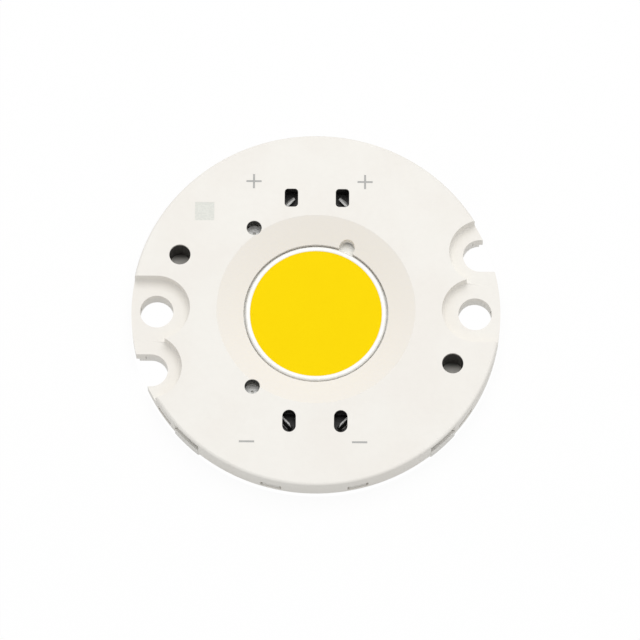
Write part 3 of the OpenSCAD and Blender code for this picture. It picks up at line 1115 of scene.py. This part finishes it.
@dataclass
class Circuit:
    """Plate, insulating layer, tracks and mask."""

    def dress_layers(self) -> None:
        """Finishes the layers of the circuit."""
        dress("base_plate", BrushedAluminium().build("Brushed aluminium"))
        layer = Grained((0.72, 0.7, 0.62), (0.66, 0.64, 0.56), 0.2, (0.58, 0.68))
        dress("insulator_layer", layer.build("Insulating layer"))
        gilt = Grained(
            (0.86, 0.6, 0.24), (0.74, 0.48, 0.2), 0.12, (0.32, 0.47), Band.WIDE, metallic=1.0
        )
        copper = gilt.build("Gilt copper")
        for track in ("track_positive", "track_negative"):
            dress(track, copper)
        dress("white_mask", GlossMask().build("White mask"))


@dataclass
class Emitter:
    """Chips, bond loops, dam and phosphor; sizes in metres."""

    centre_r: float = 6.5 * MM
    dam_w: float = 0.5 * MM
    mask_top: float = top_of("white_mask")
    dam_top: float = top_of("dam_ring")
    fill_top: float = top_of("phosphor_fill")
    plate_top: float = top_of("base_plate")
    track_top: float = top_of("track_positive")
    track_in_r: float = 6.2 * MM
    lap_r: float = 6.42 * MM
    fill_dome: float = 0.04 * MM
    fill_steps: int = 40
    climb: float = 0.015 * MM
    climb_w: float = 0.1 * MM
    strings: int = 9
    field_r: float = 5.95 * MM
    end_turn: float = 36.0
    chip_len: float = 0.55 * MM
    chip_h: float = 0.15 * MM
    wire_r: float = 0.018 * MM
    wire_rise: float = 0.14 * MM
    wire_points: int = 11
    wire_sides: int = 6
    wire_arch: float = 0.7
    bead_lip: float = 0.07 * MM
    bead_swell: float = 0.018 * MM
    bead_start: float = 205.0
    bead_start_w: float = 7.0
    bead_sink: float = 0.6
    bead_steps: int = 16
    bead_waves: tuple[tuple[float, int, float], ...] = ((0.35, 3, 1.1), (0.2, 8, 0.0))

    def build_phosphor(self) -> None:
        """Pours the phosphor: crowned in the middle, climbing at the dam."""
        edge = self.fill_top - self.fill_dome
        surface = []
        for i in range(self.fill_steps + 1):
            share = math.sin(math.pi / 2 * i / self.fill_steps)
            r = self.centre_r * share
            z = edge + self.fill_dome * (1 - share * share)
            z += self.climb * math.exp((r - self.centre_r) / self.climb_w)
            surface.append((r, z))
        under = [
            (self.centre_r, self.mask_top),
            (self.lap_r, self.mask_top),
            (self.lap_r, self.track_top),
            (self.track_in_r, self.track_top),
            (self.track_in_r, self.plate_top),
            (0.0, self.plate_top),
        ]
        made = turned("phosphor_gel", surface + under, PhosphorGel().build("Phosphor gel"))
        keep_edges(made)
        place(made, "phosphor", "phosphor_fill")

    def build_dam(self) -> None:
        """Lays the dam as one round-topped bead with a slight swell where it starts."""
        half = self.dam_w / 2
        mid = self.centre_r + half
        shoulder = self.dam_top - half
        section = [(self.centre_r, self.mask_top), (self.centre_r, self.dam_top - self.bead_lip)]
        for i in range(1, self.bead_steps):
            angle = math.pi - math.pi * i / self.bead_steps
            rise = self.bead_lip if i < self.bead_steps / 2 else half
            drop = rise * (1 - math.sin(angle))
            section.append((mid + half * math.cos(angle), self.dam_top - drop))
        outer = self.centre_r + self.dam_w
        section += [(outer, shoulder), (outer, self.mask_top)]

        def swell(angle: float, radius: float, z: float) -> Pair:
            """Pinches the bead a little away from its start.

            Args:
                angle: Angle round the axis.
                radius: Radius of the point.
                z: Height of the point.

            Returns:
                The new radius and height.
            """
            start = math.radians(self.bead_start)
            away = math.degrees(math.acos(math.cos(angle - start)))
            near = math.exp(-((away / self.bead_start_w) ** 2))
            wave = sum(much * math.sin(turns * angle + lag) for much, turns, lag in self.bead_waves)
            squeeze = self.bead_swell * (1 - near) * (0.5 + 0.5 * wave)
            out = max(0.0, (radius - mid) / half)
            return radius - squeeze * out, z - squeeze * self.bead_sink * (z > shoulder)

        made = turned("dam_bead", section, DamSilicone().build("Dam silicone"), shift=swell)
        keep_edges(made, 60.0)
        place(made, "dam_silicone", "dam_ring")

    def wire_ends(self) -> list[tuple[Triple, Triple]]:
        """Lists where each bond loop lands.

        Returns:
            Pairs of points in metres.
        """
        pitch = 2 * self.field_r * math.cos(math.radians(self.end_turn)) / (self.strings - 1)
        chip_top = self.plate_top + self.chip_h
        rail_r = (self.track_in_r + self.lap_r) / 2
        land = self.chip_len / 4
        pairs = []
        for i in range(self.strings):
            x = (i - (self.strings - 1) / 2) * pitch
            reach = math.sqrt(self.field_r**2 - x * x)
            step = 2 * reach / self.strings
            rail = math.sqrt(rail_r**2 - x * x)
            ys = [-reach + (j + 0.5) * step for j in range(self.strings)]
            pairs.append(((x, -rail, self.track_top), (x, ys[0] - land, chip_top)))
            for low, high in zip(ys, ys[1:]):
                pairs.append(((x, low + land, chip_top), (x, high - land, chip_top)))
            pairs.append(((x, ys[-1] + land, chip_top), (x, rail, self.track_top)))
        return pairs

    def build_wires(self) -> None:
        """Draws the gold bond loops along their spans."""
        tree = PatternTree("Bond loops")
        radius = tree.size("Wire radius")
        rise = tree.size("Loop rise")
        count = tree.size("Points", "Int")
        curve = tree.add("GeometryNodeMeshToCurve", {"Mesh": tree.inlet.outputs["Geometry"]})
        parts = {"Curve": curve.outputs["Curve"], "Count": count}
        fine = tree.add("GeometryNodeResampleCurve", parts)
        along = tree.add("GeometryNodeSplineParameter").outputs["Factor"]
        left = tree.calc("SUBTRACT", 1.0, along)
        hump = tree.calc("MULTIPLY", tree.calc("MULTIPLY", along, left), 4.0)
        arch = tree.calc("POWER", hump, self.wire_arch)
        lift = tree.add("ShaderNodeCombineXYZ", {"Z": tree.calc("MULTIPLY", arch, rise)})
        parts = {"Geometry": fine.outputs["Curve"], "Offset": lift.outputs[0]}
        looped = tree.add("GeometryNodeSetPosition", parts)
        section = {"Resolution": self.wire_sides, "Radius": radius}
        ring = tree.add("GeometryNodeCurvePrimitiveCircle", section)
        wire = tree.add(
            "GeometryNodeCurveToMesh",
            {
                "Curve": looped.outputs["Geometry"],
                "Profile Curve": ring.outputs["Curve"],
                "Fill Caps": True,
            },
        )
        gold = Grained(
            (0.95, 0.68, 0.3), (0.88, 0.6, 0.26), 0.05, (0.32, 0.47), Band.WIDE, metallic=1.0
        )
        tree.end(wire.outputs["Mesh"], gold.build("Gold wire"))
        ends = self.wire_ends()
        points = [point for pair in ends for point in pair]
        edges = [(2 * i, 2 * i + 1) for i in range(len(ends))]
        source = point_object("bond_loops", points, edges)
        sizes = {
            "Wire radius": self.wire_r,
            "Loop rise": self.wire_rise,
            "Points": self.wire_points,
        }
        place(tree.bake(source, sizes), "bond_gold", "bond_wires")

    def build(self) -> None:
        """Builds and finishes the emitter."""
        chip = Grained((0.42, 0.52, 0.66), (0.5, 0.6, 0.72), 0.3, (0.2, 0.3))
        dress("led_chips", chip.build("Chip crystal"))
        self.build_wires()
        self.build_dam()
        self.build_phosphor()


@dataclass
class Contacts:
    """The two formed contact strips."""

    def dress_strips(self) -> None:
        """Finishes both strips."""
        metal = TinnedSpring().build("Tinned spring")
        dress("contact_positive", metal)
        dress("contact_negative", metal)


# ---- studio ----


@dataclass
class Studio:
    """Floor, lamps, surroundings and camera; sizes in metres."""

    white: Colour = (1.0, 1.0, 1.0)
    floor_r: float = 0.5
    floor_steps: int = 96
    floor_white: Colour = (0.93, 0.93, 0.93)
    floor_glow: float = 0.93
    floor_dull: Colour = (0.72, 0.72, 0.71)
    stand_r: float = 0.0183
    sky: float = 0.64
    lamp_level: float = 0.47
    lamp_at: Triple = (0.04, 0.2, 0.56)
    lamp_side: float = 0.45
    target: Triple = (0.0, 0.0, 0.0034)
    distance: float = 0.6
    elevation: float = 71.2
    azimuth: float = -89.5
    lens: float = 342.9
    sensor: float = 36.0
    clip: Pair = (0.01, 5.0)
    shift: Pair = (0.0064, -0.0177)

    def build_floor(self) -> None:
        """Lays a pale round floor, open under the object and see-through from below."""
        shape = bmesh.new()
        count = self.floor_steps
        turns = [2 * math.pi * i / count for i in range(count)]
        rings = []
        for radius in (self.stand_r, self.floor_r):
            spots = [(radius * math.cos(turn), radius * math.sin(turn), 0.0) for turn in turns]
            rings.append([shape.verts.new(spot) for spot in spots])
        for i in range(count):
            j = (i + 1) % count
            shape.faces.new((rings[0][i], rings[1][i], rings[1][j], rings[0][j]))
        material = bpy.data.materials.new("Pale floor")
        material.use_nodes = True
        tree = material.node_tree
        tree.nodes.clear()
        plain = self.coloured(tree, "BsdfDiffuse", self.floor_white)
        glow = self.coloured(tree, "Emission", self.white)
        seen = self.blend(tree, self.floor_glow, plain, glow)
        dull = self.coloured(tree, "BsdfDiffuse", self.floor_dull)
        above = self.blend(tree, self.plain_rays(tree), dull, seen)
        below = tree.nodes.new("ShaderNodeNewGeometry").outputs["Backfacing"]
        clear = tree.nodes.new("ShaderNodeBsdfTransparent").outputs[0]
        output = tree.nodes.new("ShaderNodeOutputMaterial")
        tree.links.new(self.blend(tree, below, above, clear), output.inputs["Surface"])
        shaped("floor", shape, material)

    def coloured(self, tree: Tree, kind: str, colour: Colour) -> Socket:
        """Adds a shader node of one colour.

        Args:
            tree: The tree.
            kind: The node's type, without its first part.
            colour: Its colour.

        Returns:
            The shader.
        """
        node = tree.nodes.new(f"ShaderNode{kind}")
        node.inputs["Color"].default_value = (*colour, 1.0)
        return node.outputs[0]

    def blend(self, tree: Tree, share: Value, low: Socket, high: Socket) -> Socket:
        """Mixes two shaders.

        Args:
            tree: The tree.
            share: Share of the second.
            low: The first.
            high: The second.

        Returns:
            The mixed shader.
        """
        node = tree.nodes.new("ShaderNodeMixShader")
        for target, value in zip(node.inputs, (share, low, high)):
            join(tree, target, value)
        return node.outputs[0]

    def plain_rays(self, tree: Tree) -> Socket:
        """Tells the rays that see the backdrop from those that light the object.

        Args:
            tree: The tree.

        Returns:
            1 for camera, glossy and transmission rays.
        """
        path = tree.nodes.new("ShaderNodeLightPath")
        total = path.outputs["Is Camera Ray"]
        for name in ("Is Glossy Ray", "Is Transmission Ray"):
            total = reckon(tree, "MAXIMUM", total, path.outputs[name])
        return total

    def build_light(self) -> None:
        """Sets the surroundings and one large soft lamp above and behind."""
        world = bpy.data.worlds.new("Surroundings")
        bpy.context.scene.world = world
        world.use_nodes = True
        tree = world.node_tree
        tree.nodes.clear()
        level = tree.nodes.new("ShaderNodeMapRange")
        level.inputs["To Min"].default_value = self.sky
        tree.links.new(self.plain_rays(tree), level.inputs["Value"])
        back = self.coloured(tree, "Background", self.white)
        tree.links.new(level.outputs["Result"], back.node.inputs["Strength"])
        output = tree.nodes.new("ShaderNodeOutputWorld")
        tree.links.new(back, output.inputs["Surface"])
        lamp = bpy.data.lights.new("Soft lamp", "AREA")
        lamp.shape = "SQUARE"
        lamp.size = self.lamp_side
        spot = Vector(self.lamp_at)
        lean = spot.z / spot.length
        lamp.energy = self.lamp_level * math.pi**2 * spot.length_squared / lean
        made = new_object("Soft lamp", lamp)
        made.location = spot
        made.rotation_mode = "QUATERNION"
        made.rotation_quaternion = (-spot).to_track_quat("-Z", "Y")

    def build_camera(self) -> None:
        """Sets the camera."""
        up, around = math.radians(self.elevation), math.radians(self.azimuth)
        flat = math.cos(up)
        back = Vector((math.cos(around) * flat, math.sin(around) * flat, math.sin(up)))
        lens = bpy.data.cameras.new("Camera")
        lens.lens = self.lens
        lens.sensor_width = self.sensor
        lens.shift_x, lens.shift_y = self.shift
        lens.clip_start, lens.clip_end = self.clip
        made = new_object("Camera", lens)
        made.location = Vector(self.target) + back * self.distance
        made.rotation_mode = "QUATERNION"
        made.rotation_quaternion = (-back).to_track_quat("-Z", "Y")
        bpy.context.scene.camera = made


def main() -> None:
    """Builds the studio, then dresses the object from the outside in."""
    logging.basicConfig(level=logging.INFO, format="%(message)s")
    bpy.context.scene.view_settings.view_transform = "Standard"
    studio = Studio()
    studio.build_camera()
    studio.build_floor()
    studio.build_light()
    housing = Housing()
    housing.dress_mouldings()
    housing.build_marks()
    housing.build_square()
    Circuit().dress_layers()
    Contacts().dress_strips()
    Emitter().build()


if __name__ == "__main__":
    main()
